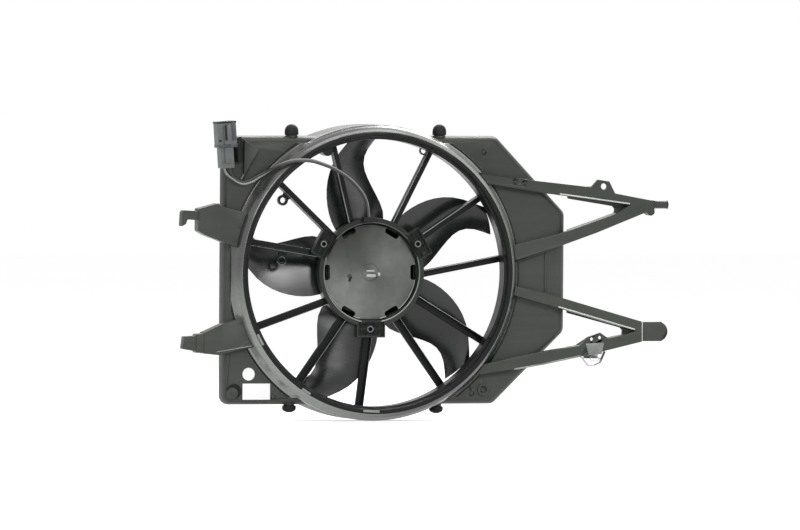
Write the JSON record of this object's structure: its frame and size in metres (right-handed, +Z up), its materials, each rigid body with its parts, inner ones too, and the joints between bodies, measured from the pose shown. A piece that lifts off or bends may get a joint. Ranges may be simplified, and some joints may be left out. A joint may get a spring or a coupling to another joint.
{
  "type": "radiator fan",
  "caption": "Electric radiator fan: moulded shroud panel with duct collar, spoked motor carrier, flat motor, skewed blades, mounting arms and a short lead to a connector.",
  "frame": {"origin": "on the fan axis, in the plane of the panel's rim that meets the radiator", "axes": "+X to the right seen from the engine side, +Y along the fan axis towards the radiator, +Z up"},
  "size_m": [0.661, 0.0857, 0.3884],
  "materials": {
    "shroud_plastic": "glass-filled nylon, satin",
    "carrier_plastic": "glass-filled nylon, satin",
    "fan_plastic": "moulded, semi-gloss",
    "connector_plastic": "moulded grey",
    "rubber": "matt",
    "lead_sleeve": "flexible sleeve",
    "zinc_plate": "passivated sheet steel",
    "steel": "bright spring steel",
    "magnet": "sintered ferrite",
    "bronze": "sintered bronze",
    "laminate": "phenolic board",
    "carbon": "carbon",
    "core_steel": "stacked sheet steel",
    "copper": "enamelled wire"
  },
  "bodies": {
    "shroud": {"panel": "shroud_plastic", "skirt": "shroud_plastic", "collar": "shroud_plastic", "duct": "shroud_plastic", "motor_carrier": "carrier_plastic", "spokes": "carrier_plastic", "left_upper_arm": "shroud_plastic", "left_lower_arm": "shroud_plastic", "right_upper_arm": "shroud_plastic", "right_lower_arm": "shroud_plastic", "top_buffers": "rubber", "bottom_pegs": "rubber", "spring_clip": "steel", "connector_bracket": "shroud_plastic", "connector_housing": "connector_plastic", "connector_plug": "connector_plastic", "lead": "lead_sleeve", "lead_grommet": "rubber", "motor_end_plate": "zinc_plate", "motor_can": "zinc_plate", "motor_lugs": "zinc_plate", "magnets": "magnet", "front_bush": "bronze", "rear_bush": "bronze", "motor_screws": "steel", "brush_plate": "laminate", "brushes": "carbon", "brush_springs": "steel"},
    "rotor": {"fan_hub": "fan_plastic", "fan_blades": "fan_plastic", "fan_nut": "steel", "shaft": "steel", "armature_core": "core_steel", "armature_windings": "copper", "commutator": "copper"}
  },
  "joints": [
    {"name": "fan_spin", "type": "hinge", "parent": "shroud", "child": "rotor", "pos_m": [0, 0, 0], "axis": [0, 1, 0], "continuous": true}
  ]
}
